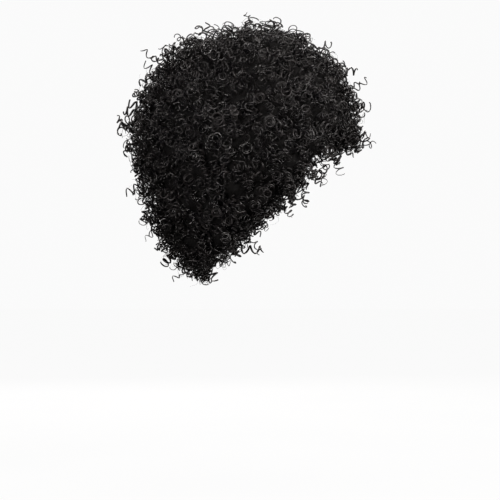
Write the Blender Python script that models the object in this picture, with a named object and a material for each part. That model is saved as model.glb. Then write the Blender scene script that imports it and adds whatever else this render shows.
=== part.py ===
"""Short afro wig: tight black ringlets sewn to a hollow net cap.

Units are metres and +Z is up. The wig faces -Y, so the wearer's left is +X.
The origin is where the crown of the head touches the inside of the cap.
Places on the head are polar: azimuth in degrees from the back centre towards the
wearer's left, and polar angle in degrees down from the crown, both seen from the
middle of the head at its widest level.
"""

import bisect
import math
import random
from collections import namedtuple

import bmesh
import bpy
import numpy as np
from mathutils import Vector
from mathutils.kdtree import KDTree

# Head form that the cap fits and the hair hangs round
HEAD_HALF_WIDTH = 0.075
HEAD_HALF_LENGTH = 0.095
HEAD_CROWN_HEIGHT = 0.110
HEAD_DROP = 0.230

# Cap
CAP_WALL = 0.0015
PIECE_GAP = 0.0004

# Depth of the hair beyond the cap, out to the tops of its tufts
CROWN_DEPTH = 0.080
BACK_DEPTH = 0.100
SIDE_DEPTH = 0.076
FRONT_DEPTH = 0.064
HAIR_LEAST = 0.010
CROWN_SPREAD = 0.25

# Tufts: the rounded clumps that the ringlets gather in, some standing higher than others
TUFT_SPACING = 0.045
TUFT_RISE = 0.016
TUFT_UNEVEN = 0.004
TUFT_WANDER_SHARE = 0.25
TUFT_WIDTH_SHARE = 0.62

# Corkscrew locks that stand out of the tufts
LOCK_SPACING = 0.079
LOCK_RADIUS = 0.0066
LOCK_THICKNESS = 0.0054
LOCK_PITCH = 0.0105
LOCK_ROOT = 0.009
LOCK_REACH = 0.012
LOCK_UNEVEN_SHARE = 0.2
LOCK_START_SHARE = 0.35
LOCK_TIP_SHARE = 0.55
LOCK_WIDE_BY_SHARE = 0.5
LOCK_LEAN = 0.8
LOCK_DROOP = 0.25
LOCK_POINTS_PER_TURN = 6

# Where one section of the hair gives way to the next
CROWN_POLAR = 38.0
NAPE_POLAR = 104.0
BACK_AZIMUTH = 60.0
FRINGE_AZIMUTH = 135.0

# Fineness of the round forms
BORDER_STEP = 7.5
HEAD_SEGMENTS = 24
HEAD_RINGS = 16
HAIR_SUBDIVISIONS = 5
CUTTER_REACH = 0.7
SHARP_ANGLE = 50.0
SEED = 11

# Lower edge of the hair and of the cap all the way round, as polar angles
HemRow = namedtuple("HemRow", "azimuth hair cap")
HEM_ROWS = (
    HemRow(azimuth=0, hair=152, cap=128),
    HemRow(azimuth=30, hair=151, cap=123),
    HemRow(azimuth=55, hair=147, cap=110),
    HemRow(azimuth=75, hair=138, cap=95),
    HemRow(azimuth=90, hair=130, cap=87),
    HemRow(azimuth=103, hair=122, cap=92),
    HemRow(azimuth=115, hair=113, cap=92),
    HemRow(azimuth=130, hair=98, cap=72),
    HemRow(azimuth=150, hair=87, cap=58),
    HemRow(azimuth=180, hair=84, cap=53),
)

# Depth of the hair from the crown, way 0, to its hem, way 1, as shares of the depths above
DepthRow = namedtuple("DepthRow", "way back side front")
DEPTH_ROWS = (
    DepthRow(way=0.0, back=0.90, side=1.02, front=1.12),
    DepthRow(way=0.2, back=0.97, side=1.05, front=1.00),
    DepthRow(way=0.4, back=1.00, side=1.00, front=0.97),
    DepthRow(way=0.6, back=0.86, side=0.93, front=0.77),
    DepthRow(way=0.7, back=0.72, side=0.88, front=0.67),
    DepthRow(way=0.8, back=0.72, side=0.82, front=0.58),
    DepthRow(way=0.9, back=0.58, side=0.68, front=0.47),
    DepthRow(way=0.96, back=0.36, side=0.48, front=0.34),
    DepthRow(way=1.0, back=0.16, side=0.24, front=0.16),
)

# Single ringlets that stand out of the outline, their reach as a share of a lock's
StrayRow = namedtuple("StrayRow", "azimuth way reach")
STRAY_ROWS = (
    StrayRow(azimuth=2, way=0.56, reach=1.0),
    StrayRow(azimuth=-4, way=0.82, reach=1.6),
    StrayRow(azimuth=20, way=0.90, reach=1.1),
    StrayRow(azimuth=-20, way=0.05, reach=1.3),
    StrayRow(azimuth=150, way=0.15, reach=1.0),
    StrayRow(azimuth=176, way=0.60, reach=1.0),
    StrayRow(azimuth=-90, way=0.86, reach=1.2),
    StrayRow(azimuth=90, way=0.88, reach=1.2),
)

CENTRE = Vector((0.0, 0.0, -HEAD_CROWN_HEIGHT))
CROWN = Vector((0.0, 0.0, 1.0))
HAIR_REACH = HEAD_HALF_LENGTH + BACK_DEPTH
CLOSE = 1e-6


def clear_scene():
    for obj in list(bpy.data.objects):
        bpy.data.objects.remove(obj, do_unlink=True)


def new_collection(name):
    collection = bpy.data.collections.new(name)
    bpy.context.scene.collection.children.link(collection)
    return collection


def principled(name, color, roughness):
    material = bpy.data.materials.new(name)
    material.use_nodes = True
    shader = material.node_tree.nodes["Principled BSDF"]
    shader.inputs["Base Color"].default_value = (*color, 1.0)
    shader.inputs["Roughness"].default_value = roughness
    shader.inputs["Metallic"].default_value = 0.0
    return material


def direction(azimuth, polar):
    """Unit vector from the middle of the head at an azimuth and a polar angle in degrees."""
    around = math.radians(azimuth)
    down = math.radians(polar)
    return Vector((math.sin(down) * math.sin(around), math.sin(down) * math.cos(around), math.cos(down)))


def angles_of(way_out):
    """Azimuth and polar angle in degrees of a unit vector."""
    azimuth = math.degrees(math.atan2(way_out.x, way_out.y))
    polar = math.degrees(math.acos(max(-1.0, min(1.0, way_out.z))))
    return azimuth, polar


def smooth_column(rows, key, column):
    """A function that reads one column of a table along a smooth curve through its rows."""
    keys = [float(getattr(row, key)) for row in rows]
    values = [float(getattr(row, column)) for row in rows]
    slopes = np.gradient(values, keys)

    def read(at):
        i = min(max(bisect.bisect_right(keys, at) - 1, 0), len(keys) - 2)
        span = keys[i + 1] - keys[i]
        t = min(max((at - keys[i]) / span, 0.0), 1.0)
        rest = 1.0 - t
        start = values[i] * (1 + 2 * t) * rest**2 + span * slopes[i] * t * rest**2
        end = values[i + 1] * (1 + 2 * rest) * t**2 - span * slopes[i + 1] * rest * t**2
        return start + end

    return read


def both_sides(read):
    """The same function of the azimuth for the left and the right."""
    return lambda azimuth: read(abs((azimuth + 180.0) % 360.0 - 180.0))


hair_hem = both_sides(smooth_column(HEM_ROWS, "azimuth", "hair"))
cap_hem = both_sides(smooth_column(HEM_ROWS, "azimuth", "cap"))
back_share = smooth_column(DEPTH_ROWS, "way", "back")
side_share = smooth_column(DEPTH_ROWS, "way", "side")
front_share = smooth_column(DEPTH_ROWS, "way", "front")


def head_reach(way_out):
    """Distance from the middle of the head to the inside of the cap along a unit vector."""
    height = HEAD_CROWN_HEIGHT if way_out.z > 0.0 else HEAD_DROP
    across = way_out.x / HEAD_HALF_WIDTH
    along = way_out.y / HEAD_HALF_LENGTH
    return 1.0 / math.sqrt(across**2 + along**2 + (way_out.z / height) ** 2)


def hair_depth(way_out):
    """Depth of the hair beyond the cap along a unit vector, blended round the head."""
    azimuth, polar = angles_of(way_out)
    way = polar / hair_hem(azimuth)
    facing = math.cos(math.radians(azimuth))
    side = SIDE_DEPTH * side_share(way)
    if facing > 0.0:
        end = BACK_DEPTH * back_share(way)
    else:
        end = FRONT_DEPTH * front_share(way)
    lower = side + (end - side) * facing**2
    spread = min(way / CROWN_SPREAD, 1.0)
    blend = spread * spread * (3.0 - 2.0 * spread)
    return CROWN_DEPTH + (lower - CROWN_DEPTH) * blend


def spread_directions(spacing):
    """Unit vectors evenly spread in a spiral over the whole ball, a spacing apart on the hair."""
    count = round(4.0 * math.pi * (HAIR_REACH / spacing) ** 2)
    golden = math.pi * (3.0 - math.sqrt(5.0))
    found = []
    for i in range(count):
        up = 1.0 - 2.0 * (i + 0.5) / count
        flat = math.sqrt(1.0 - up * up)
        found.append(Vector((flat * math.cos(golden * i), flat * math.sin(golden * i), up)))
    return found


class Tufts:
    """Rounded clumps over the whole hair, each with its own middle and rise."""

    def __init__(self, dice):
        wander = TUFT_WANDER_SHARE * TUFT_SPACING / HAIR_REACH
        self.middles = []
        for middle in spread_directions(TUFT_SPACING):
            shift = Vector([dice.uniform(-wander, wander) for _ in range(3)])
            self.middles.append((middle + shift).normalized())
        self.rises = [dice.uniform(-1.0, 1.0) * TUFT_UNEVEN for _ in self.middles]
        self.width = TUFT_WIDTH_SHARE * TUFT_SPACING / HAIR_REACH
        self.tree = KDTree(len(self.middles))
        for i, middle in enumerate(self.middles):
            self.tree.insert(middle, i)
        self.tree.balance()

    def height(self, way_out):
        """Height of the clumps' surface: about 0 on a tuft's top, a tuft's rise lower between them."""
        _, index, distance = self.tree.find(way_out)
        dome = min((distance / self.width) ** 2, 1.0)
        return self.rises[index] * (1.0 - dome) - TUFT_RISE * dome


def hair_surface(way_out, tufts):
    """Distance from the middle of the head to the surface of the hair's mass."""
    inside = head_reach(way_out) + CAP_WALL + PIECE_GAP
    return inside + max(hair_depth(way_out) + tufts.height(way_out), HAIR_LEAST)


def object_from(bm, name, collection):
    mesh = bpy.data.meshes.new(name)
    bm.to_mesh(mesh)
    bm.free()
    obj = bpy.data.objects.new(name, mesh)
    collection.objects.link(obj)
    return obj


def make_helper(obj):
    obj.hide_render = True
    obj.display_type = "WIRE"
    return obj


def head_form(name, offset, collection):
    """Egg that the inside of the cap follows, made larger all round by an offset."""
    bm = bmesh.new()
    bmesh.ops.create_uvsphere(bm, u_segments=HEAD_SEGMENTS, v_segments=HEAD_RINGS, radius=1.0)
    for vert in bm.verts:
        way_out = vert.co.normalized()
        vert.co = CENTRE + way_out * (head_reach(way_out) + offset)
    return object_from(bm, name, collection)


def ray_cone(name, loop, middle, collection):
    """Cutter whose sides run out from the middle of the head through a closed loop of directions."""
    bm = bmesh.new()
    apex = bm.verts.new(CENTRE)
    end = bm.verts.new(CENTRE + middle * CUTTER_REACH)
    ring = [bm.verts.new(CENTRE + way_out * CUTTER_REACH) for way_out in loop]
    for here, following in zip(ring, ring[1:] + ring[:1]):
        bm.faces.new((apex, here, following))
        bm.faces.new((end, following, here))
    bmesh.ops.recalc_face_normals(bm, faces=bm.faces[:])
    return make_helper(object_from(bm, name, collection))


def round_loop(polar):
    """Directions all the way round the head at the polar angle that a function gives."""
    steps = round(360.0 / BORDER_STEP)
    return [direction(BORDER_STEP * i, polar(BORDER_STEP * i)) for i in range(steps)]


def section_loop(section):
    """Directions of the border of a section that doesn't go right round."""
    width = section.last - section.first
    steps = round(width / BORDER_STEP)
    azimuths = [section.first + width * i / steps for i in range(steps + 1)]
    upper = [direction(azimuth, section.top(azimuth)) for azimuth in azimuths]
    lower = [direction(azimuth, section.bottom(azimuth)) for azimuth in reversed(azimuths)]
    return upper + lower


def add_boolean(obj, name, operation, other):
    modifier = obj.modifiers.new(name, "BOOLEAN")
    modifier.operation = operation
    if isinstance(other, bpy.types.Collection):
        modifier.operand_type = "COLLECTION"
        modifier.collection = other
    else:
        modifier.object = other
    return modifier


def meshes_from_curves(curve_objects):
    """Puts closed mesh cutters in place of curve objects, with their caps welded on."""
    bpy.context.view_layer.update()
    graph = bpy.context.evaluated_depsgraph_get()
    made = []
    for curve_object in curve_objects:
        mesh = bpy.data.meshes.new_from_object(curve_object.evaluated_get(graph))
        made.append((curve_object, curve_object.matrix_world.copy(), mesh))
    for curve_object, place, mesh in made:
        bm = bmesh.new()
        bm.from_mesh(mesh)
        bmesh.ops.remove_doubles(bm, verts=bm.verts[:], dist=CLOSE)
        bmesh.ops.recalc_face_normals(bm, faces=bm.faces[:])
        bm.to_mesh(mesh)
        bm.free()
        name = curve_object.name
        collection = curve_object.users_collection[0]
        bpy.data.objects.remove(curve_object, do_unlink=True)
        obj = bpy.data.objects.new(name, mesh)
        obj.matrix_world = place
        collection.objects.link(obj)
        make_helper(obj)


def corkscrew_points(root, outward, axis, phase, turning):
    """Points of a ringlet that winds along an axis from its root, widens and droops."""
    side = outward.orthogonal().normalized()
    other = outward.cross(side)
    steps = round(axis.length / LOCK_PITCH * LOCK_POINTS_PER_TURN)
    points = []
    for i in range(steps + 1):
        share = i / steps
        middle = root + axis * share
        middle.z -= LOCK_DROOP * axis.length * share**2
        angle = phase + turning * 2.0 * math.pi * i / LOCK_POINTS_PER_TURN
        widened = min(share / LOCK_WIDE_BY_SHARE, 1.0)
        radius = LOCK_RADIUS * (LOCK_START_SHARE + (1.0 - LOCK_START_SHARE) * widened)
        points.append(middle + (side * math.cos(angle) + other * math.sin(angle)) * radius)
    return points


def corkscrew(name, points, collection):
    """A tapering ringlet: a wound wire with a bevel, made into a mesh."""
    curve = bpy.data.curves.new(name, "CURVE")
    curve.dimensions = "3D"
    curve.bevel_depth = LOCK_THICKNESS / 2
    curve.bevel_resolution = 0
    curve.use_fill_caps = True
    spline = curve.splines.new("POLY")
    spline.points.add(len(points) - 1)
    for i, (slot, place) in enumerate(zip(spline.points, points)):
        slot.co = (*place, 1.0)
        slot.radius = 1.0 - (1.0 - LOCK_TIP_SHARE) * i / (len(points) - 1)
    obj = bpy.data.objects.new(name, curve)
    collection.objects.link(obj)
    return obj


def lock(name, way_out, reach, tufts, dice, collection):
    """One corkscrew lock that stands a reach out of the hair along a direction and leans over."""
    root = CENTRE + way_out * (hair_surface(way_out, tufts) - LOCK_ROOT)
    side = way_out.orthogonal().normalized()
    leaning = dice.uniform(0.0, 2.0 * math.pi)
    lean = side * math.cos(leaning) + way_out.cross(side) * math.sin(leaning)
    axis = (way_out + lean * dice.uniform(0.0, LOCK_LEAN)) * (LOCK_ROOT + reach)
    phase = dice.uniform(0.0, 2.0 * math.pi)
    turning = dice.choice((-1.0, 1.0))
    points = corkscrew_points(root, way_out, axis, phase, turning)
    return corkscrew(name, points, collection)


Section = namedtuple("Section", "name first last top bottom")


def level(polar):
    """A border that runs round the head at one polar angle."""
    return lambda azimuth: polar


def hair_sections():
    """The hair's sections, with their borders drawn in by half a gap."""
    narrowest = HEAD_HALF_WIDTH * math.sin(math.radians(CROWN_POLAR))
    half_gap = math.degrees(PIECE_GAP / 2 / narrowest)
    below_crown = level(CROWN_POLAR + half_gap)
    back = (-BACK_AZIMUTH + half_gap, BACK_AZIMUTH - half_gap)
    left = (BACK_AZIMUTH + half_gap, FRINGE_AZIMUTH - half_gap)
    right = (-left[1], -left[0])
    fringe = (FRINGE_AZIMUTH + half_gap, 360.0 - FRINGE_AZIMUTH - half_gap)
    return (
        Section("crown_hair", 0.0, 360.0, level(0.0), level(CROWN_POLAR - half_gap)),
        Section("back_hair", *back, below_crown, level(NAPE_POLAR - half_gap)),
        Section("nape_hair", *back, level(NAPE_POLAR + half_gap), hair_hem),
        Section("side_hair_left", *left, below_crown, hair_hem),
        Section("side_hair_right", *right, below_crown, hair_hem),
        Section("fringe_hair", *fringe, below_crown, hair_hem),
    )


def goes_round(section):
    return section.last - section.first == 360.0


def room_inside(section, way_out):
    """Degrees from a direction to the nearest border of a section, below 0 when it is outside."""
    azimuth, polar = angles_of(way_out)
    room = section.bottom(azimuth) - polar
    if goes_round(section):
        return room
    half = (section.last - section.first) / 2
    off_middle = abs((azimuth - section.first - half + 180.0) % 360.0 - 180.0)
    across = (half - off_middle) * math.sin(math.radians(polar))
    return min(room, polar - section.top(azimuth), across)


def lock_margin(way_out, reach, tufts):
    """Degrees that a lock needs to every side of its root so that it stays over its own section."""
    sideways = (LOCK_ROOT + reach) * (LOCK_LEAN + LOCK_DROOP) + LOCK_RADIUS + LOCK_THICKNESS / 2
    return math.degrees(math.atan2(sideways, hair_surface(way_out, tufts)))


def lock_spots(dice):
    """Directions and reaches of the locks: an even spread, and the strays."""
    spots = []
    for way_out in spread_directions(LOCK_SPACING):
        uneven = dice.uniform(-LOCK_UNEVEN_SHARE, LOCK_UNEVEN_SHARE)
        spots.append((way_out, LOCK_REACH * (1.0 + uneven)))
    for row in STRAY_ROWS:
        polar = row.way * hair_hem(row.azimuth)
        spots.append((direction(row.azimuth, polar), LOCK_REACH * row.reach))
    return spots


def make_locks(section, tufts, spots, dice, cutters):
    """The locks of one section, as curves in a collection of their own."""
    collection = bpy.data.collections.new(section.name + "_locks")
    cutters.children.link(collection)
    made = []
    for way_out, reach in spots:
        if room_inside(section, way_out) > lock_margin(way_out, reach, tufts):
            name = f"{section.name}_lock_{len(made) + 1}"
            made.append(lock(name, way_out, reach, tufts, dice, collection))
    return made


def hair_mass(tufts):
    """Mesh of the whole tufted mass of the hair, filled and closed all the way round."""
    bm = bmesh.new()
    bmesh.ops.create_icosphere(bm, subdivisions=HAIR_SUBDIVISIONS, radius=1.0)
    for vert in bm.verts:
        way_out = vert.co.normalized()
        vert.co = CENTRE + way_out * hair_surface(way_out, tufts)
    mesh = bpy.data.meshes.new("hair_mass")
    bm.to_mesh(mesh)
    bm.free()
    return mesh


def section_wedge(section, cutters):
    """Cutter with the borders of one section."""
    if goes_round(section):
        return ray_cone(section.name + "_wedge", round_loop(section.bottom), CROWN, cutters)
    azimuth = (section.first + section.last) / 2
    middle = direction(azimuth, (section.top(azimuth) + section.bottom(azimuth)) / 2)
    return ray_cone(section.name + "_wedge", section_loop(section), middle, cutters)


def make_hair_section(section, mass, hair_inside, parts, cutters):
    """One section of the hair: its wedge of the mass, hollow for the cap, with its locks fused on."""
    hair = bpy.data.objects.new(section.name, mass.copy())
    parts.objects.link(hair)
    add_boolean(hair, "wedge", "INTERSECT", section_wedge(section, cutters))
    add_boolean(hair, "head", "DIFFERENCE", hair_inside)
    add_boolean(hair, "locks", "UNION", cutters.children[section.name + "_locks"])
    return hair


def make_cap(parts, cutters):
    """Hollow cap with a wall of even thickness, trimmed along its hem."""
    cap = head_form("wig_cap", CAP_WALL, parts)
    add_boolean(cap, "hollow", "DIFFERENCE", make_helper(head_form("cap_inside", 0.0, cutters)))
    add_boolean(cap, "trim", "INTERSECT", ray_cone("cap_trim", round_loop(cap_hem), CROWN, cutters))
    return cap


def shade(obj, material):
    obj.data.materials.append(material)
    obj.data.shade_smooth()
    obj.data.set_sharp_from_angle(angle=math.radians(SHARP_ANGLE))


def main():
    clear_scene()
    parts = new_collection("afro_wig")
    cutters = new_collection("cutters")
    dice = random.Random(SEED)
    hair_black = principled("hair_black", (0.012, 0.011, 0.011), 0.45)
    cap_net = principled("cap_net", (0.02, 0.018, 0.018), 0.9)
    tufts = Tufts(dice)
    sections = hair_sections()
    spots = lock_spots(dice)
    curves = []
    for section in sections:
        curves += make_locks(section, tufts, spots, dice, cutters)
    meshes_from_curves(curves)
    cap = make_cap(parts, cutters)
    shade(cap, cap_net)
    hair_inside = make_helper(head_form("hair_inside", CAP_WALL + PIECE_GAP, cutters))
    mass = hair_mass(tufts)
    for section in sections:
        hair = make_hair_section(section, mass, hair_inside, parts, cutters)
        shade(hair, hair_black)
    bpy.data.meshes.remove(mass)


main()
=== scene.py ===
"""The looks of the short afro wig: ringlets and fine stray hairs over a dark core, round its net cap.

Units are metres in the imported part's frame: +Z is up, the wig faces -Y, and the origin is on the inside
of the cap at its crown. Places are polar: azimuth in degrees from the back (+Y) towards the wearer's
left (+X), and polar angle in degrees down from the crown, both seen from the middle of the hollow.
"""

import math
from collections import namedtuple

import bpy
import numpy as np
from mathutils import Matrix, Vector, noise
from mathutils.bvhtree import BVHTree


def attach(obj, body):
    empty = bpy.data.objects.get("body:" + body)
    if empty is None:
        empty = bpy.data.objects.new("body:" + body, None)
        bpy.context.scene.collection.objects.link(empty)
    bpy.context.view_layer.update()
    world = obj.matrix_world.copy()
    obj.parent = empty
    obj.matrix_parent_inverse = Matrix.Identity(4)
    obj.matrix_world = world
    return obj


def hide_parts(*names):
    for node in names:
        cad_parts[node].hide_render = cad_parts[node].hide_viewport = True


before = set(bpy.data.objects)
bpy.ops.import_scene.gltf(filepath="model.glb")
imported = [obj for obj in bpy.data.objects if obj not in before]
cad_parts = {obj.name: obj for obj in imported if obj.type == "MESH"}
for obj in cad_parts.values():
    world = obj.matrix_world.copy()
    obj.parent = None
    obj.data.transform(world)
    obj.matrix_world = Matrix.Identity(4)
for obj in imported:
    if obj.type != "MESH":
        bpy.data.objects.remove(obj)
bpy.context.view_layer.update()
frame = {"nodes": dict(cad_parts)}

HOLLOW_MIDDLE = np.array((0.0, 0.0, -0.110))
HAIR_NODES = ("crown_hair", "fringe_hair", "side_hair_left", "side_hair_right", "back_hair", "nape_hair")
DOWN = np.array((0.0, 0.0, -1.0))
UP = np.array((0.0, 0.0, 1.0))
SEED = 7

# Map of the hair's solids, read by rays from the middle of the hollow
MAP_STEP = 1.5  # degrees between readings
MAP_END = 160.5  # degrees down from the crown
MAP_SHORT = 1.001  # how far short of their number the readings end, so that each has a next one
RAY_PAST = 1e-4  # how far past a wall the next ray starts
TUFT_BLUR = 5  # rounds of smoothing for the surface that tufts and valleys are measured from
NORMAL_STEP = 0.03  # how far to each side of a unit way out the surface's slope is read

# Core under the ringlets
CORE_COLUMNS = 168
CORE_ROWS = 84
CORE_INNER_ROWS = 30
CORE_SINK = 0.0115  # depth below the outer surface
CORE_LEAST = 0.002  # least height over the inner surface
CORE_LIFT = 0.0006  # clearance of its inner side from the inner surface
CORE_END = 0.975  # share of the way to the end of the dense hair
LUMP_HEIGHT = 0.0026
LUMP_SIZE = 0.009
LUMP_FALL = 0.6  # how fast the finer lumps get lower
LUMP_FINER = 2.0  # how much finer each level of lumps is than the one before
LUMP_LEVELS = 3

# How far down the hair is dense, as a share of the way to its hem, by azimuth on either side
DenseRow = namedtuple("DenseRow", "azimuth share")
DENSE_ROWS = (
    DenseRow(azimuth=0, share=0.98),
    DenseRow(azimuth=72, share=0.98),
    DenseRow(azimuth=82, share=0.95),
    DenseRow(azimuth=92, share=0.93),
    DenseRow(azimuth=104, share=0.91),
    DenseRow(azimuth=113, share=0.87),
    DenseRow(azimuth=118, share=0.82),
    DenseRow(azimuth=124, share=0.77),
    DenseRow(azimuth=134, share=0.76),
    DenseRow(azimuth=146, share=0.81),
    DenseRow(azimuth=164, share=0.86),
    DenseRow(azimuth=172, share=0.89),
    DenseRow(azimuth=180, share=0.90),
)

# Band of loose ringlets below the dense hair, over the forehead and the temples
LOOSE_KEPT = 0.09  # share of the surface's ringlets that it has
LOOSE_FROM = 0.86  # share of the way to the hem, at or under which the dense hair leaves such a band
LOOSE_HANGING = 0.45  # share of the hanging ringlets that it has

# Section of a ringlet's tube: corners in widths along the coil's axis and in thicknesses away from it
SIDES = 4
BROAD = np.array((0.5, 0.0, -0.5, 0.0))
DEEP = np.array((0.0, 0.5, 0.0, -0.5))
SECTION_RANGE = (0.60, 1.15)  # a ringlet's section as a share of its kind's
THINS_OVER = 0.4  # last share of its length, over which it thins

# Roots, spread at random with none nearer to another than a spacing
TRIES = 7  # points tried for each square of that spacing
HEM_MARGIN = 0.5  # degrees above the hem

# Coils, in shares of their kind's sizes and of their own length
SKEW = (0.31, 0.52, 0.79)  # a way that hardly any axis takes
RADIUS_RANGE = (0.70, 1.30)
PITCH_RANGE = (0.85, 1.2)
ROOT_RADIUS = 0.45
OPENS_OVER = 0.25
CLOSES_OVER = 0.30
UNEVEN_MOST = 0.16  # how much the radius swells and shrinks
SWELLS = 1.4  # how often it does so
FLATTEST = 0.78  # least that a coil's lesser radius may be, as a share of the greater
CROWDED_TIP = 0.55  # how far the turns draw together towards the tip
TURN_BACK_SHARE = 0.30  # share of the ringlets that wind back from midway
TURN_BACK_RANGE = (0.35, 0.65)  # where along them they do
TURN_BACK_EASE = 0.06

# Kinds of ringlet: their coil, their tube, how far the coil closes and what is left of the tube at the tip
Kind = namedtuple("Kind", "radius pitch turns per_turn width thickness closing tip")
SWIRL = Kind(
    radius=0.0044, pitch=0.0034, turns=3.5, per_turn=8,
    width=0.0019, thickness=0.0011, closing=0.60, tip=0.4,
)
OPEN = Kind(
    radius=0.0053, pitch=0.0044, turns=3.2, per_turn=9,
    width=0.0020, thickness=0.0012, closing=0.40, tip=0.4,
)
LOOSE = Kind(
    radius=0.0060, pitch=0.0054, turns=3.2, per_turn=9,
    width=0.0020, thickness=0.0014, closing=0.30, tip=0.4,
)
PROUD = Kind(
    radius=0.0053, pitch=0.0070, turns=3.0, per_turn=14,
    width=0.0027, thickness=0.0023, closing=0.15, tip=0.7,
)
HANGING = Kind(
    radius=0.0050, pitch=0.0066, turns=3.2, per_turn=11,
    width=0.0027, thickness=0.0021, closing=0.25, tip=0.5,
)
INNER = Kind(
    radius=0.0045, pitch=0.0048, turns=2.2, per_turn=7,
    width=0.0020, thickness=0.0012, closing=0.40, tip=0.4,
)
FLYAWAY = Kind(
    radius=0.0062, pitch=0.0110, turns=2.0, per_turn=7,
    width=0.00045, thickness=0.00045, closing=0.0, tip=0.4,
)

# Mass of ringlets on the outer surface: its kinds, their shares of it and how far they stand out
MassRow = namedtuple("MassRow", "kind share reach")
MASS_ROWS = (
    MassRow(kind=SWIRL, share=0.48, reach=0.000),
    MassRow(kind=OPEN, share=0.30, reach=0.002),
    MassRow(kind=LOOSE, share=0.22, reach=0.005),
)
MASS_SPACING = 0.0080
MASS_ROOT = 0.0105  # depth of the roots
MASS_SUNK = 0.0030  # how far the tips stay below the surface, before what raises them
MASS_REACH_RANGE = (0.4, 1.4)
MASS_REACH_SPREAD = 0.0018
MASS_SHORTEST = 0.005
MASS_TILT = 0.38
MASS_FLOW = 0.45  # how much neighbours lean the same way
FLOW_SIZE = 0.034
MASS_OUTWARD = 0.3  # share of the way out in a ringlet's axis, where the rest is the surface's normal
MASS_DROOP = 0.22
MASS_LEAST_RISE = 0.5
MASS_LEAST_STEEP = 0.5
MASS_BEND = 0.55
MASS_BEND_KEPT = 0.6

# Valleys between the solids' tufts
VALLEY_DEPTH = 0.0070
VALLEY_THIN = 0.5  # share of ringlets left out there
VALLEY_SINK = 0.002

# Clumps of ringlets that lean together and stand over the valleys between them
CLUMP = 0.034
CLUMP_EDGE = 0.30
CLUMP_RISE = 0.0085
CLUMP_LEVEL = 0.55  # how far in from a clump's edge a ringlet is neither raised nor lowered
CLUMP_LEAN = 1.0
CLUMP_UPRIGHT = 0.5  # share of the lean that is gone well inside a clump
CLUMP_THIN = 0.50  # share of ringlets left out at its edge

# Single curls that stand out of the mass
SHALLOW_ROOT = 0.004  # depth of their roots, and of the stray hairs'
PROUD_SPACING = 0.0160
PROUD_REACH = 0.0155
PROUD_REACH_RANGE = (0.45, 1.25)
PROUD_NORMAL = 0.65
PROUD_TILT = 0.8
PROUD_BEND = 1.0
PROUD_BEND_SHORTENS = 0.25
PROUD_LEAST_STEEP = 0.6

# Curls that hang from the end of the dense hair
HANGING_SPACING = 0.0100
HANGING_DEEP = 2  # how many there are to each spacing
HANGING_ABOVE = (2.5, 9.0)  # degrees above that end
HANGING_DEPTHS = (0.15, 0.80)  # share of the way from the inner surface to the outer
HANGING_LENGTHS = (0.010, 0.017)
HANGING_BAND = (0.1, 0.7)  # share of the loose band that they reach down
HANGING_FLARE = 0.9
HANGING_TUCK = 0.25
HANGING_TILT = 0.35
HANGING_DROOP = 0.3
HANGING_BEND = 0.35
HEM_STEP = 0.5  # degrees
HEM_RADIUS = 0.14  # about how far the hem is from the middle of the hollow

# Ringlets on the inner side, below the cap
INNER_SPACING = 0.0092
INNER_ABOVE = 2.0  # degrees above the end of the dense hair
INNER_LIFT = 0.004
INNER_LENGTHS = (0.008, 0.012)
INNER_TUCK = 0.55
INNER_TILT = 0.3
INNER_BEND = 0.3

# Fine stray hairs
FLYAWAY_SPACING = 0.0155
FLYAWAY_LENGTHS = (0.010, 0.019)
FLYAWAY_TILT = 0.6
FLYAWAY_BEND = 0.7
FLYAWAY_REACH = 0.017  # how far past the surface one may stand and still be kept

# Strips of the map for a bake: the share of its cell that a ringlet fills, and the patch for each end
STRIP_FILL = 0.86
END_PATCH = (0.3, 0.02)

# Pieces of ringlets, each from one section of the hair: 1 is its left half, -1 its right, 0 all of it
Piece = namedtuple("Piece", "name node half")
PIECES = (
    Piece(name="crown_ringlets_left", node="crown_hair", half=1),
    Piece(name="crown_ringlets_right", node="crown_hair", half=-1),
    Piece(name="fringe_ringlets", node="fringe_hair", half=0),
    Piece(name="side_ringlets_left", node="side_hair_left", half=0),
    Piece(name="side_ringlets_right", node="side_hair_right", half=0),
    Piece(name="back_ringlets_left", node="back_hair", half=1),
    Piece(name="back_ringlets_right", node="back_hair", half=-1),
    Piece(name="nape_ringlets", node="nape_hair", half=0),
)

# Colours of the finishes, along a ramp from dark to light
Stop = namedtuple("Stop", "at color")
FIBRE_STOPS = (
    Stop(at=0.0, color=(0.0022, 0.0020, 0.0020)),
    Stop(at=0.6, color=(0.0050, 0.0044, 0.0043)),
    Stop(at=1.0, color=(0.0140, 0.0110, 0.0105)),
)
# The core's colours are the hair's black, darker than the fibre's above: painted shade deep between the
# ringlets
CORE_HAIR_AND_SHADE_STOPS = (
    Stop(at=0.35, color=(0.0012, 0.0012, 0.0012)),
    Stop(at=0.75, color=(0.0040, 0.0036, 0.0034)),
)
NET_STOPS = (
    Stop(at=0.15, color=(0.007, 0.0065, 0.0065)),
    Stop(at=0.5, color=(0.020, 0.018, 0.018)),
    Stop(at=1.0, color=(0.036, 0.033, 0.032)),
)
FLOOR_STOPS = (
    Stop(at=0.3, color=(0.024, 0.024, 0.024)),
    Stop(at=0.7, color=(0.028, 0.028, 0.028)),
)
WHITE = (1.0, 1.0, 1.0, 1.0)

# Finish of the fibre, and the net of the cap with its rows of wefts
FIBRE_OWN = 0.6  # share of a ringlet's own shade in its colour
FIBRE_PATCHY = 0.4  # share of the shade that changes from place to place
FIBRE_ROUGHNESS = (0.24, 0.42)
NET_PITCH = 0.0024
NET_HEIGHT = 0.35  # height of its threads as a share of a weft's
WEFT_PITCH = 0.0090
WEFT_SHARPNESS = 4.0

# Photograph's frame: what a pixel of it spans at the wig, and the place that its middle shows
PIXEL = 0.00135
FRAME_PIXELS = 500
FRAME_MIDDLE = Vector((0.0, 0.0243, -0.2228))
CAMERA_DISTANCE = 2.6
CAMERA_LENS = 85.0

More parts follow.
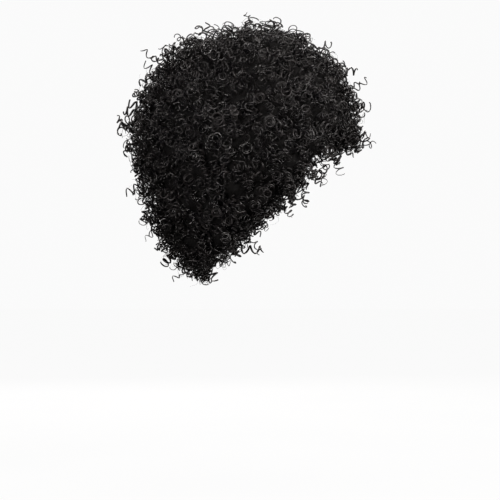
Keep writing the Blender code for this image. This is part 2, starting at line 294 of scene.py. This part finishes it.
# Studio
FLOOR_LEVEL = -0.547
FLOOR_SIZE = 16.0
FLOOR_GLOW = 0.95
WORLD_SEEN = 0.96
WORLD_LIGHT = 0.08
LIGHT_COLOR = (1.0, 0.94, 0.92)
LIGHT_AIM = Vector((0.0, 0.03, -0.09))
Light = namedtuple("Light", "name place size power")
LIGHTS = (
    Light(name="key", place=(-1.5, -1.2, 1.2), size=0.5, power=41.0),
    Light(name="fill", place=(-1.7, 0.9, -0.4), size=0.8, power=38.0),
    Light(name="front", place=(-0.5, -2.2, -0.1), size=0.9, power=26.0),
    Light(name="far_side", place=(1.9, 0.3, 0.6), size=1.2, power=42.0),
    Light(name="overhead", place=(-0.3, 0.1, 2.2), size=1.2, power=22.0),
)


def dot(first, second):
    """Product of each pair of vectors, on a last axis of its own."""
    return np.sum(first * second, -1, keepdims=True)


def unit(vectors):
    """The same ways, with a length of 1."""
    return vectors / np.linalg.norm(vectors, axis=-1, keepdims=True)


def across_only(ways, axes):
    """What is left of each way when its share along a unit axis is taken off."""
    return ways - dot(ways, axes) * axes


def directions(azimuth, polar):
    """Unit vectors at azimuths and polar angles in degrees."""
    a, p = np.radians(azimuth), np.radians(polar)
    return np.stack([np.sin(p) * np.sin(a), np.sin(p) * np.cos(a), np.cos(p)], -1)


def down_from(azimuth, polar):
    """Unit vectors square to the way out, that point away from the crown."""
    return directions(azimuth, np.asarray(polar) + 90.0)


def angles(ways):
    """Azimuths and polar angles of unit vectors, in degrees."""
    azimuth = np.degrees(np.arctan2(ways[..., 0], ways[..., 1]))
    polar = np.degrees(np.arccos(np.clip(ways[..., 2], -1.0, 1.0)))
    return azimuth, polar


def blurred(field, rounds):
    """A polar field smoothed over its neighbours, round in azimuth."""
    for _ in range(rounds):
        field = (np.roll(field, 1, 0) + 2 * field + np.roll(field, -1, 0)) / 4
        padded = np.pad(field, ((0, 0), (1, 1)), mode="edge")
        field = (padded[:, :-2] + 2 * field + padded[:, 2:]) / 4
    return field


def middle_of_nine(field):
    """Each reading's median with its neighbours, which leaves the fused locks out."""
    wide = np.pad(field, ((1, 1), (0, 0)), mode="wrap")
    wide = np.pad(wide, ((0, 0), (1, 1)), mode="edge")
    n, m = field.shape
    return np.median([wide[i : i + n, j : j + m] for i in range(3) for j in range(3)], axis=0)


class HairMap:
    """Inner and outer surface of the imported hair, its section and its hem, by azimuth and polar angle."""

    def __init__(self, nodes):
        self.azimuths = np.arange(0.0, 360.0, MAP_STEP)
        self.polars = np.arange(0.0, MAP_END, MAP_STEP)
        corners, faces, owner = [], [], []
        for number, name in enumerate(HAIR_NODES):
            first = len(corners)
            corners += [v.co.copy() for v in nodes[name].data.vertices]
            for face in nodes[name].data.polygons:
                faces.append([first + i for i in face.vertices])
                owner.append(number)
        tree = BVHTree.FromPolygons(corners, faces)
        shape = (len(self.azimuths), len(self.polars))
        self.inner, self.outer = np.full(shape, np.nan), np.full(shape, np.nan)
        self.owner = np.full(shape, -1)
        start = Vector(HOLLOW_MIDDLE)
        for i, azimuth in enumerate(self.azimuths):
            for j, polar in enumerate(self.polars):
                way = Vector(directions(azimuth, polar))
                place, _, face, near = tree.ray_cast(start, way)
                if face is None:
                    continue
                _, _, behind, depth = tree.ray_cast(place + way * RAY_PAST, way)
                if behind is None:
                    continue
                self.inner[i, j] = near
                self.outer[i, j] = near + RAY_PAST + depth
                self.owner[i, j] = owner[face]
        self.hem = np.array([self.polars[row >= 0].max() for row in self.owner])
        self.fill_gaps()
        self.outer = middle_of_nine(self.outer)
        self.height = self.outer - blurred(self.outer, TUFT_BLUR)

    def fill_gaps(self):
        """Past the hem, and where a ray slips between two sections, the last reading stays."""
        for field in (self.inner, self.outer, self.owner):
            for row in field:
                for j in range(1, len(row)):
                    if np.isnan(row[j]) or row[j] < 0:
                        row[j] = row[j - 1]

    def read(self, field, azimuth, polar):
        """A field between its readings."""
        x = (np.asarray(azimuth) % 360.0) / MAP_STEP
        y = np.clip(np.asarray(polar) / MAP_STEP, 0.0, len(self.polars) - MAP_SHORT)
        i, j = np.floor(x).astype(int), np.floor(y).astype(int)
        u, v = x - i, y - j
        i, k = i % len(self.azimuths), (i + 1) % len(self.azimuths)
        near = field[i, j] * (1 - v) + field[i, j + 1] * v
        far = field[k, j] * (1 - v) + field[k, j + 1] * v
        return near * (1 - u) + far * u

    def hem_at(self, azimuth):
        """Polar angle of the hem."""
        x = (np.asarray(azimuth) % 360.0) / MAP_STEP
        i = np.floor(x).astype(int)
        u = x - i
        count = len(self.hem)
        return self.hem[i % count] * (1 - u) + self.hem[(i + 1) % count] * u

    def dense_hem(self, azimuth):
        """Polar angle down to which the hair is dense."""
        folded = np.abs((np.asarray(azimuth) + 180.0) % 360.0 - 180.0)
        at, share = zip(*DENSE_ROWS)
        return self.hem_at(azimuth) * np.interp(folded, at, share)

    def section_at(self, azimuth, polar):
        """Number of the hair node."""
        i = np.round(np.asarray(azimuth) / MAP_STEP).astype(int) % len(self.azimuths)
        j = np.clip(np.round(np.asarray(polar) / MAP_STEP).astype(int), 0, len(self.polars) - 1)
        return self.owner[i, j]

    def place(self, field, azimuth, polar, lift=0.0):
        """Places on a surface, or lifted outwards from it."""
        reach = self.read(field, azimuth, polar) + lift
        return HOLLOW_MIDDLE + directions(azimuth, polar) * reach[..., None]

    def normals(self, azimuth, polar):
        """Outward normals of the outer surface."""
        way = directions(azimuth, polar)
        # The tiny part along Y gives the side a length at the crown too, where the way is straight up
        side = unit(np.cross(way, UP) + np.array((0.0, 1e-9, 0.0)))
        slopes = []
        for turn in (side, np.cross(side, way)):
            ends = []
            for step in (-NORMAL_STEP, NORMAL_STEP):
                moved = unit(way + step * turn)
                reach = self.read(self.outer, *angles(moved))
                ends.append(HOLLOW_MIDDLE + moved * reach[..., None])
            slopes.append(ends[1] - ends[0])
        normal = unit(np.cross(*slopes))
        return normal * np.sign(dot(normal, way))


def far_apart(places, spacing):
    """Which places stay when none may lie within a spacing of one kept before it."""
    cells = np.floor(places / spacing).astype(int)
    steps = [(i, j, k) for i in (-1, 0, 1) for j in (-1, 0, 1) for k in (-1, 0, 1)]
    taken, kept = {}, []
    least = spacing * spacing
    for number, (place, (a, b, c)) in enumerate(zip(places.tolist(), cells.tolist())):
        x, y, z = place
        free = True
        for i, j, k in steps:
            for u, v, w in taken.get((a + i, b + j, c + k), ()):
                if (x - u) ** 2 + (y - v) ** 2 + (z - w) ** 2 < least:
                    free = False
                    break
            if not free:
                break
        if free:
            taken.setdefault((a, b, c), []).append((x, y, z))
            kept.append(number)
    return np.array(kept)


def spread_roots(field, hair, spacing, dice):
    """Azimuths and polar angles of roots all over a surface, no two nearer than a spacing."""
    squares = 4 * math.pi * (np.max(field) / spacing) ** 2
    ways = unit(dice.normal(0.0, 1.0, (int(TRIES * squares), 3)))
    azimuth, polar = angles(ways)
    inside = polar < hair.hem_at(azimuth) - HEM_MARGIN
    azimuth, polar = azimuth[inside], polar[inside]
    kept = far_apart(hair.place(field, azimuth, polar), spacing)
    return azimuth[kept], polar[kept]


def clumps(places):
    """For each place, the middle of its clump, and 0 at the clump's edge to 1 well inside it."""
    middles, inside = [], []
    for place in places:
        far, cores = noise.voronoi(Vector(place / CLUMP))
        middles.append(np.array(cores[0]) * CLUMP)
        inside.append(min((far[1] - far[0]) / CLUMP_EDGE, 1.0))
    return np.array(middles), np.array(inside)


def flow(places):
    """A slowly turning field that leans neighbouring ringlets the same way."""
    return np.array([noise.noise_vector(Vector(place / FLOW_SIZE)) for place in places])


def towards_tip(s, length):
    """0 down a ringlet, and up to 1 at its tip over its last length, as s goes from 0 to 1."""
    return np.clip((s - (1.0 - length)) / length, 0.0, 1.0)


def coils(kind, places, axes, bends, lengths, dice):
    """Middle lines of ringlets of one kind, and the ways out from their axes: (ringlets, points, 3)."""
    count = len(places)
    points = int(round(kind.turns * kind.per_turn)) + 1
    s = np.linspace(0.0, 1.0, points)[None, :, None]

    def each(low, high):
        return dice.uniform(low, high, (count, 1, 1))

    phase, swell = each(0.0, math.tau), each(0.0, math.tau)
    turning = dice.choice((-1.0, 1.0), (count, 1, 1))
    radius = kind.radius * each(*RADIUS_RANGE)
    uneven, flat = each(0.0, UNEVEN_MOST), each(FLATTEST, 1.0)
    long = lengths[:, None, None]
    turns = np.minimum(long / (kind.pitch * each(*PITCH_RANGE)), kind.turns)
    along = s + CROWDED_TIP * s * (1.0 - s)
    middle = places[:, None] + long * (along * axes[:, None] + along * along * bends[:, None])
    tangent = unit(axes[:, None] + 2 * along * bends[:, None])
    across = unit(across_only(unit(np.cross(axes, SKEW))[:, None], tangent))
    other = np.cross(tangent, across)
    opening = np.clip(s / OPENS_OVER, 0.0, 1.0)
    size = radius * (ROOT_RADIUS + (1.0 - ROOT_RADIUS) * opening * (2.0 - opening))
    size = size * (1.0 + uneven * np.sin(math.tau * SWELLS * s + swell))
    size = size * (1.0 - kind.closing * towards_tip(s, CLOSES_OVER))
    midway = each(*TURN_BACK_RANGE)
    there_and_back = midway - np.sqrt((s - midway) ** 2 + TURN_BACK_EASE**2)
    wound_by = np.where(each(0.0, 1.0) < TURN_BACK_SHARE, there_and_back, s)
    angle = phase + turning * math.tau * turns * wound_by
    spoke = across * np.cos(angle) + other * np.sin(angle)
    wound = across * np.cos(angle) + other * np.sin(angle) * flat
    return middle + wound * size, spoke


def ribbons(kind, lines, ways, dice):
    """Closed flat tubes round lines, thinner at the tip: (ringlets, points, sides, 3)."""
    tangent = unit(np.gradient(lines, axis=1))
    deep = unit(across_only(ways, tangent))
    broad = np.cross(deep, tangent)
    s = np.linspace(0.0, 1.0, lines.shape[1])[None, :, None, None]
    thin = 1.0 - (1.0 - kind.tip) * towards_tip(s, THINS_OVER)
    size = dice.uniform(*SECTION_RANGE, (len(lines), 1, 1, 1)) * thin
    ring = broad[:, :, None] * BROAD[:, None] * kind.width
    ring = ring + deep[:, :, None] * DEEP[:, None] * kind.thickness
    return lines[:, :, None] + ring * size


def tube_faces(count, points):
    """Corner numbers of the sides and of the two ends of tubes."""
    side = np.arange(SIDES)
    following = (side + 1) % SIDES
    ring = np.arange(points - 1)[:, None] * SIDES
    sides = np.stack([ring + side, ring + following, ring + SIDES + following, ring + SIDES + side], -1)
    ends = np.stack([side[::-1], (points - 1) * SIDES + side])
    first = np.arange(count)[:, None, None] * points * SIDES
    return (sides.reshape(-1, 4)[None] + first).reshape(-1, 4), (ends[None] + first).reshape(-1, SIDES)


def tube_uv(count, points, columns, first):
    """A cell of the bake's map for each tube, with the corners in the order of tube_faces."""
    cell = np.arange(first, first + count)
    corner = np.stack([cell % columns, cell // columns], -1) / columns
    room = STRIP_FILL / columns
    side = np.arange(SIDES)
    ring = np.arange(points - 1)[:, None] / (points - 1)
    step = 1.0 / (points - 1)
    u = np.stack([side, side + 1, side + 1, side], -1) / SIDES
    u = np.broadcast_to(u[None], (points - 1, SIDES, 4))
    v = np.stack([ring, ring, ring + step, ring + step], -1) * np.ones((1, SIDES, 1))
    sides = np.stack([u, v], -1).reshape(1, -1, 2) * room + corner[:, None]
    wide, high = END_PATCH
    patch = np.array([[0.0, 0.0], [wide, 0.0], [wide, high], [0.0, high]])
    ends = np.concatenate([patch, patch + (0.0, 1.0 - high)])[None] * room + corner[:, None]
    return sides.reshape(-1, 2), ends.reshape(-1, 2)


def add_object(name, data):
    """A new object in the scene."""
    obj = bpy.data.objects.new(name, data)
    bpy.context.scene.collection.objects.link(obj)
    return obj


def strands_object(name, batches, dice):
    """One joined mesh of closed tubes, with a random shade for each tube and a map for a bake."""
    columns = math.ceil(math.sqrt(sum(len(tubes) for tubes in batches)))
    places, sides, ends, side_uv, end_uv, shades = [], [], [], [], [], []
    base = first = 0
    for tubes in batches:
        count, points = tubes.shape[:2]
        places.append(tubes.reshape(-1, 3))
        new_sides, new_ends = tube_faces(count, points)
        sides.append(new_sides + base)
        ends.append(new_ends + base)
        new_side_uv, new_end_uv = tube_uv(count, points, columns, first)
        side_uv.append(new_side_uv)
        end_uv.append(new_end_uv)
        shades.append(np.repeat(dice.random(count), points * SIDES))
        base += count * points * SIDES
        first += count
    places, sides, ends = np.concatenate(places), np.concatenate(sides), np.concatenate(ends)
    corners = np.concatenate([sides.ravel(), ends.ravel()])
    side_starts = np.arange(len(sides)) * sides.shape[1]
    end_starts = sides.size + np.arange(len(ends)) * ends.shape[1]
    starts = np.concatenate([side_starts, end_starts])
    mesh = bpy.data.meshes.new(name)
    mesh.vertices.add(len(places))
    mesh.vertices.foreach_set("co", places.astype(np.float32).ravel())
    mesh.loops.add(len(corners))
    mesh.loops.foreach_set("vertex_index", corners.astype(np.int32))
    mesh.polygons.add(len(starts))
    mesh.polygons.foreach_set("loop_start", starts.astype(np.int32))
    mesh.update(calc_edges=True)
    shade = mesh.attributes.new("strand", "FLOAT", "POINT")
    shade.data.foreach_set("value", np.concatenate(shades).astype(np.float32))
    uv = mesh.uv_layers.new(name="OFBake")
    uv.data.foreach_set("uv", np.concatenate(side_uv + end_uv).astype(np.float32).ravel())
    mesh.shade_smooth()
    return add_object(name, mesh)


def piece_of(hair, azimuth, polar):
    """Number of the piece that each root belongs to."""
    section = hair.section_at(azimuth, polar)
    left = np.sin(np.radians(azimuth)) >= 0.0
    found = np.full(len(section), -1)
    for number, piece in enumerate(PIECES):
        mine = section == HAIR_NODES.index(piece.node)
        if piece.half:
            mine &= left == (piece.half > 0)
        found[mine] = number
    return found


def grow(found, owner, kind, places, axes, bends, lengths, dice):
    """Ringlets of one kind, added to the pieces that own their roots."""
    lines, ways = coils(kind, places, axes, bends, lengths, dice)
    made = ribbons(kind, lines, ways, dice)
    for number, piece in enumerate(PIECES):
        if np.any(owner == number):
            found.setdefault(piece, []).append(made[owner == number])


def surface_ringlets(found, hair, dice):
    """The mass of ringlets that covers the outer surface."""
    azimuth, polar = spread_roots(hair.outer, hair, MASS_SPACING, dice)
    places = hair.place(hair.outer, azimuth, polar)
    middles, inside = clumps(places)
    valley = np.clip(-hair.read(hair.height, azimuth, polar) / VALLEY_DEPTH, 0.0, 1.0)
    chance = (1.0 - VALLEY_THIN * valley) * (1.0 - CLUMP_THIN * (1.0 - inside))
    chance *= np.where(polar > hair.dense_hem(azimuth), LOOSE_KEPT, 1.0)
    kept = dice.random(len(azimuth)) < chance
    azimuth, polar, places = azimuth[kept], polar[kept], places[kept]
    middles, inside, valley = middles[kept], inside[kept], valley[kept]
    outward, normals = directions(azimuth, polar), hair.normals(azimuth, polar)
    lean = flow(places) * MASS_FLOW + dice.normal(0.0, MASS_TILT, places.shape)
    lean += (middles - places) / CLUMP * CLUMP_LEAN * (1.0 - CLUMP_UPRIGHT * inside[:, None])
    axes = (1.0 - MASS_OUTWARD) * normals + MASS_OUTWARD * outward
    axes = unit(axes + across_only(lean, normals) + DOWN * MASS_DROOP)
    axes = unit(axes + normals * np.maximum(MASS_LEAST_RISE - dot(axes, normals), 0.0))
    row_of = dice.choice(len(MASS_ROWS), len(azimuth), p=[row.share for row in MASS_ROWS])
    owner = piece_of(hair, azimuth, polar)
    roots = places - outward * MASS_ROOT
    rise = CLUMP_RISE * (inside - CLUMP_LEVEL) - MASS_SUNK
    rise = rise + dice.normal(0.0, MASS_REACH_SPREAD, len(azimuth)) - VALLEY_SINK * valley
    steep = np.clip(dot(axes, outward)[:, 0], MASS_LEAST_STEEP, 1.0)
    for number, row in enumerate(MASS_ROWS):
        mine = row_of == number
        reach = MASS_ROOT + row.reach * dice.uniform(*MASS_REACH_RANGE, mine.sum()) + rise[mine]
        length = np.maximum(reach, MASS_SHORTEST) / steep[mine]
        bends = dice.normal(0.0, MASS_BEND, axes[mine].shape) + DOWN * MASS_DROOP
        bends = across_only(bends, axes[mine]) * MASS_BEND_KEPT
        grow(found, owner[mine], row.kind, roots[mine], axes[mine], bends, length, dice)


def proud_ringlets(found, hair, dice):
    """Single curls that stand out of the mass and loop about."""
    azimuth, polar = spread_roots(hair.outer, hair, PROUD_SPACING, dice)
    kept = (polar < hair.dense_hem(azimuth)) | (dice.random(len(azimuth)) < LOOSE_KEPT)
    azimuth, polar = azimuth[kept], polar[kept]
    outward, normals = directions(azimuth, polar), hair.normals(azimuth, polar)
    places = hair.place(hair.outer, azimuth, polar, -SHALLOW_ROOT)
    lean = across_only(dice.normal(0.0, PROUD_TILT, places.shape), normals)
    axes = unit(normals * PROUD_NORMAL + lean)
    length = SHALLOW_ROOT + PROUD_REACH * dice.uniform(*PROUD_REACH_RANGE, len(azimuth))
    length /= np.clip(dot(axes, outward)[:, 0], PROUD_LEAST_STEEP, 1.0)
    bends = across_only(dice.uniform(-PROUD_BEND, PROUD_BEND, places.shape), axes)
    length *= 1.0 - PROUD_BEND_SHORTENS * np.linalg.norm(bends, axis=-1)
    grow(found, piece_of(hair, azimuth, polar), PROUD, places, axes, bends, length, dice)


def hanging_ringlets(found, hair, dice):
    """Curls that hang from the end of the dense hair all round, and down the loose band at the front."""
    around = np.arange(0.0, 360.0, HEM_STEP)
    hem = HOLLOW_MIDDLE + directions(around, hair.dense_hem(around)) * HEM_RADIUS
    travel = np.concatenate([[0.0], np.cumsum(np.linalg.norm(np.diff(hem, axis=0), axis=-1))])
    count = int(HANGING_DEEP * travel[-1] / HANGING_SPACING)
    azimuth = np.interp(dice.random(count) * travel[-1], travel, around)
    dense, end = hair.dense_hem(azimuth), hair.hem_at(azimuth)
    kept = (dense > LOOSE_FROM * end) | (dice.random(count) < LOOSE_HANGING)
    azimuth, dense, end = azimuth[kept], dense[kept], end[kept]
    count = len(azimuth)
    polar = dense - dice.uniform(*HANGING_ABOVE, count)
    depth = dice.uniform(*HANGING_DEPTHS, count)
    near, far = hair.read(hair.inner, azimuth, polar), hair.read(hair.outer, azimuth, polar)
    reach = near + (far - near) * depth
    outward, down = directions(azimuth, polar), down_from(azimuth, polar)
    places = HOLLOW_MIDDLE + outward * reach[:, None]
    lean = outward * (HANGING_FLARE * depth[:, None] - HANGING_TUCK)
    lean = lean + dice.normal(0.0, HANGING_TILT, places.shape)
    axes = unit(down + lean + DOWN * HANGING_DROOP)
    length = dice.uniform(*HANGING_LENGTHS, count)
    length += np.radians(end - dense) * reach * dice.uniform(*HANGING_BAND, count)
    bends = across_only(dice.normal(0.0, HANGING_BEND, places.shape), axes)
    grow(found, piece_of(hair, azimuth, polar), HANGING, places, axes, bends, length, dice)


def inner_ringlets(found, hair, cap, dice):
    """Ringlets on the inner side of the hair, where the cap doesn't cover it."""
    azimuth, polar = spread_roots(hair.inner, hair, INNER_SPACING, dice)
    corners = [v.co.copy() for v in cap.data.vertices]
    wall = BVHTree.FromPolygons(corners, [tuple(face.vertices) for face in cap.data.polygons])
    start = Vector(HOLLOW_MIDDLE)
    bare = np.array([wall.ray_cast(start, Vector(way))[0] is None for way in directions(azimuth, polar)])
    bare &= polar < hair.dense_hem(azimuth) - INNER_ABOVE
    azimuth, polar = azimuth[bare], polar[bare]
    outward, down = directions(azimuth, polar), down_from(azimuth, polar)
    places = hair.place(hair.inner, azimuth, polar, INNER_LIFT)
    axes = unit(down - outward * INNER_TUCK + dice.normal(0.0, INNER_TILT, places.shape))
    length = dice.uniform(*INNER_LENGTHS, len(azimuth))
    bends = across_only(dice.normal(0.0, INNER_BEND, places.shape), axes)
    grow(found, piece_of(hair, azimuth, polar), INNER, places, axes, bends, length, dice)


def flyaways(hair, dice):
    """Fine single hairs that stand out all over the dense hair and soften the outline."""
    azimuth, polar = spread_roots(hair.outer, hair, FLYAWAY_SPACING, dice)
    dense = polar < hair.dense_hem(azimuth)
    azimuth, polar = azimuth[dense], polar[dense]
    normals = hair.normals(azimuth, polar)
    places = hair.place(hair.outer, azimuth, polar, -SHALLOW_ROOT)
    axes = unit(normals + across_only(dice.normal(0.0, FLYAWAY_TILT, places.shape), normals))
    length = dice.uniform(*FLYAWAY_LENGTHS, len(azimuth))
    bends = across_only(dice.normal(0.0, FLYAWAY_BEND, places.shape), axes)
    lines, ways = coils(FLYAWAY, places, axes, bends, length, dice)
    reach = np.linalg.norm(lines - HOLLOW_MIDDLE, axis=-1).max(axis=1)
    kept = reach - hair.read(hair.outer, azimuth, polar) < FLYAWAY_REACH
    return ribbons(FLYAWAY, lines[kept], ways[kept], dice)


def lump(place):
    """Height of the core's lumps at a place."""
    return noise.fractal(Vector(place) / LUMP_SIZE, LUMP_FALL, LUMP_FINER, LUMP_LEVELS) * LUMP_HEIGHT


def hair_core(hair):
    """Closed lumpy core: out to a little below the mass's surface, and in to the cap."""
    azimuth = np.arange(CORE_COLUMNS) * 360.0 / CORE_COLUMNS
    hem = hair.dense_hem(azimuth) * CORE_END
    rings = []
    for row in range(1, CORE_ROWS + 1):
        polar = hem * row / CORE_ROWS
        outer = hair.read(hair.outer, azimuth, polar) - CORE_SINK
        inner = hair.read(hair.inner, azimuth, polar) + CORE_LEAST
        outward = directions(azimuth, polar)
        points = HOLLOW_MIDDLE + outward * np.maximum(outer, inner)[:, None]
        lumps = np.array([lump(point) for point in points])
        rings.append(points + outward * lumps[:, None])
    for row in range(CORE_INNER_ROWS, 0, -1):
        polar = hem * row / CORE_INNER_ROWS
        rings.append(hair.place(hair.inner, azimuth, polar, CORE_LIFT))
    top = HOLLOW_MIDDLE + UP * (hair.outer[0, 0] - CORE_SINK)
    bottom = HOLLOW_MIDDLE + UP * (hair.inner[0, 0] + CORE_LIFT)
    places = np.concatenate([top[None], *rings, bottom[None]])
    faces = []
    for i in range(CORE_COLUMNS):
        j = (i + 1) % CORE_COLUMNS
        faces.append((0, 1 + j, 1 + i))
        for ring in range(len(rings) - 1):
            a, b = 1 + ring * CORE_COLUMNS, 1 + (ring + 1) * CORE_COLUMNS
            faces.append((a + i, a + j, b + j, b + i))
        last = 1 + (len(rings) - 1) * CORE_COLUMNS
        faces.append((last + i, last + j, len(places) - 1))
    mesh = bpy.data.meshes.new("hair_core")
    mesh.from_pydata([tuple(place) for place in places], [], faces)
    mesh.shade_smooth()
    return add_object("hair_core", mesh)


def new_material(name):
    """A material, its nodes and its shader."""
    material = bpy.data.materials.new(name)
    material.use_nodes = True
    return material, material.node_tree, material.node_tree.nodes["Principled BSDF"]


def ramp(tree, value, stops):
    """The colour at a value along a ramp."""
    node = tree.nodes.new("ShaderNodeValToRGB")
    # A new stop starts halfway, and gets its own place below
    while len(node.color_ramp.elements) < len(stops):
        node.color_ramp.elements.new(0.5)
    for element, stop in zip(node.color_ramp.elements, stops):
        element.position = stop.at
        element.color = (*stop.color, 1.0)
    tree.links.new(value, node.inputs["Fac"])
    return node.outputs["Color"]


def noise_texture(tree, scale, detail, roughness=0.5):
    """Noise of 0 to 1 that stays with the object."""
    place = tree.nodes.new("ShaderNodeTexCoord")
    texture = tree.nodes.new("ShaderNodeTexNoise")
    texture.inputs["Scale"].default_value = scale
    texture.inputs["Detail"].default_value = detail
    texture.inputs["Roughness"].default_value = roughness
    tree.links.new(place.outputs["Object"], texture.inputs["Vector"])
    return texture.outputs["Fac"]


def math_node(tree, operation, *values):
    """The result of an operation on numbers or on what other nodes give."""
    node = tree.nodes.new("ShaderNodeMath")
    node.operation = operation
    for socket, value in zip(node.inputs, values):
        if isinstance(value, (int, float)):
            socket.default_value = value
        else:
            tree.links.new(value, socket)
    return node.outputs["Value"]


def mapped(tree, value, low, high, span=(0.0, 1.0)):
    """A value carried from a span to low and high."""
    node = tree.nodes.new("ShaderNodeMapRange")
    for name, number in (("From Min", span[0]), ("From Max", span[1]), ("To Min", low), ("To Max", high)):
        node.inputs[name].default_value = number
    tree.links.new(value, node.inputs["Value"])
    return node.outputs["Result"]


def for_camera(tree, seen, unseen):
    """One strength where the camera sees the surface itself, and another for the light that it gives."""
    path = tree.nodes.new("ShaderNodeLightPath")
    return mapped(tree, path.outputs["Is Camera Ray"], unseen, seen)


def add_bump(tree, shader, height, strength, distance):
    """Bump on a shader, from a height."""
    bump = tree.nodes.new("ShaderNodeBump")
    bump.inputs["Strength"].default_value = strength
    bump.inputs["Distance"].default_value = distance
    tree.links.new(height, bump.inputs["Height"])
    tree.links.new(bump.outputs["Normal"], shader.inputs["Normal"])


def ringlet_material():
    """Black fibre with a satin gloss, each ringlet a little different from the next."""
    material, tree, shader = new_material("ringlet_fibre")
    strand = tree.nodes.new("ShaderNodeAttribute")
    strand.attribute_name = "strand"
    own = math_node(tree, "MULTIPLY", strand.outputs["Fac"], FIBRE_OWN)
    patchy = math_node(tree, "MULTIPLY", noise_texture(tree, scale=30.0, detail=2.0), FIBRE_PATCHY)
    color = ramp(tree, math_node(tree, "ADD", own, patchy), FIBRE_STOPS)
    tree.links.new(color, shader.inputs["Base Color"])
    tree.links.new(mapped(tree, strand.outputs["Fac"], *FIBRE_ROUGHNESS), shader.inputs["Roughness"])
    shader.inputs["Specular IOR Level"].default_value = 0.55
    return material


def core_material():
    """The tangle deep between the ringlets: near-black fibre, coloured darker than the ringlets' fibre as
    painted shade deep in the mass, with the bump of small curls.
    """
    material, tree, shader = new_material("tangled_fibre_with_painted_shade")
    tangle = noise_texture(tree, scale=260.0, detail=3.0, roughness=0.6)
    tree.links.new(ramp(tree, tangle, CORE_HAIR_AND_SHADE_STOPS), shader.inputs["Base Color"])
    shader.inputs["Roughness"].default_value = 0.8
    shader.inputs["Specular IOR Level"].default_value = 0.15
    add_bump(tree, shader, tangle, strength=0.9, distance=0.002)
    return material


def wave(tree, axis, pitch):
    """0 to 1 and back once every pitch along an axis of the part."""
    place = tree.nodes.new("ShaderNodeTexCoord")
    apart = tree.nodes.new("ShaderNodeSeparateXYZ")
    tree.links.new(place.outputs["Object"], apart.inputs["Vector"])
    angle = math_node(tree, "MULTIPLY", apart.outputs[axis], math.tau / pitch)
    return mapped(tree, math_node(tree, "SINE", angle), 0.0, 1.0, span=(-1.0, 1.0))


def cap_material():
    """Black net of fine threads, with the rows of sewn wefts that carry the hair."""
    material, tree, shader = new_material("cap_net_weave")
    threads = math_node(tree, "MAXIMUM", wave(tree, "X", NET_PITCH), wave(tree, "Y", NET_PITCH))
    threads = math_node(tree, "MULTIPLY", threads, NET_HEIGHT)
    wefts = math_node(tree, "POWER", wave(tree, "Z", WEFT_PITCH), WEFT_SHARPNESS)
    height = math_node(tree, "ADD", threads, wefts)
    tree.links.new(ramp(tree, height, NET_STOPS), shader.inputs["Base Color"])
    shader.inputs["Roughness"].default_value = 0.7
    add_bump(tree, shader, height, strength=0.8, distance=0.001)
    return material


def floor_material():
    """Pale studio floor that runs into the white behind it."""
    material, tree, shader = new_material("pale_floor")
    tone = noise_texture(tree, scale=3.0, detail=2.0)
    tree.links.new(ramp(tree, tone, FLOOR_STOPS), shader.inputs["Base Color"])
    shader.inputs["Roughness"].default_value = 0.9
    shader.inputs["Specular IOR Level"].default_value = 0.0
    shader.inputs["Emission Color"].default_value = WHITE
    tree.links.new(for_camera(tree, seen=FLOOR_GLOW, unseen=0.0), shader.inputs["Emission Strength"])
    return material


def add_floor():
    bpy.ops.mesh.primitive_plane_add(size=FLOOR_SIZE, location=(0.0, 0.0, FLOOR_LEVEL))
    floor = bpy.context.object
    floor.name = "floor"
    floor.data.materials.append(floor_material())


def add_camera():
    """The photograph's view, square to the wearer's right side."""
    camera = add_object("camera", bpy.data.cameras.new("camera"))
    camera.data.lens = CAMERA_LENS
    camera.data.sensor_width = PIXEL * FRAME_PIXELS * CAMERA_LENS / CAMERA_DISTANCE
    camera.location = FRAME_MIDDLE + Vector((-CAMERA_DISTANCE, 0.0, 0.0))
    camera.rotation_mode = "QUATERNION"
    camera.rotation_quaternion = Vector((1.0, 0.0, 0.0)).to_track_quat("-Z", "Y")
    bpy.context.scene.camera = camera


def add_light(light):
    """A square soft light, aimed at the hair."""
    lamp = bpy.data.lights.new(light.name, "AREA")
    lamp.shape = "SQUARE"
    lamp.size = light.size
    lamp.energy = light.power
    lamp.color = LIGHT_COLOR
    obj = add_object(light.name, lamp)
    obj.location = light.place
    obj.rotation_mode = "QUATERNION"
    obj.rotation_quaternion = (LIGHT_AIM - Vector(light.place)).to_track_quat("-Z", "Y")


def add_world():
    """White behind everything, which gives only a little light."""
    world = bpy.data.worlds.new("white_studio")
    world.use_nodes = True
    tree = world.node_tree
    back = tree.nodes["Background"]
    back.inputs["Color"].default_value = WHITE
    tree.links.new(for_camera(tree, seen=WORLD_SEEN, unseen=WORLD_LIGHT), back.inputs["Strength"])
    bpy.context.scene.world = world
    bpy.context.scene.view_settings.view_transform = "Standard"


def dress(obj, material, slot, *nodes):
    """A piece's material, its body, and the nodes that it stands for, which are hidden; the slot is not
    used.
    """
    obj.data.materials.clear()
    obj.data.materials.append(material)
    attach(obj, "root")
    if nodes:
        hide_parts(*nodes)


def main():
    dice = np.random.default_rng(SEED)
    noise.seed_set(SEED)
    hair = HairMap(frame["nodes"])
    cap = frame["nodes"]["wig_cap"]
    found = {}
    surface_ringlets(found, hair, dice)
    proud_ringlets(found, hair, dice)
    hanging_ringlets(found, hair, dice)
    inner_ringlets(found, hair, cap, dice)
    fibre = ringlet_material()
    for piece, batches in found.items():
        dress(strands_object(piece.name, batches, dice), fibre, "hair", piece.node)
    dress(strands_object("flyaway_hair", [flyaways(hair, dice)], dice), fibre, "hair")
    dress(hair_core(hair), core_material(), "hair", *HAIR_NODES)
    cap.data.materials.clear()
    cap.data.materials.append(cap_material())
    add_floor()
    add_camera()
    for light in LIGHTS:
        add_light(light)
    add_world()


main()
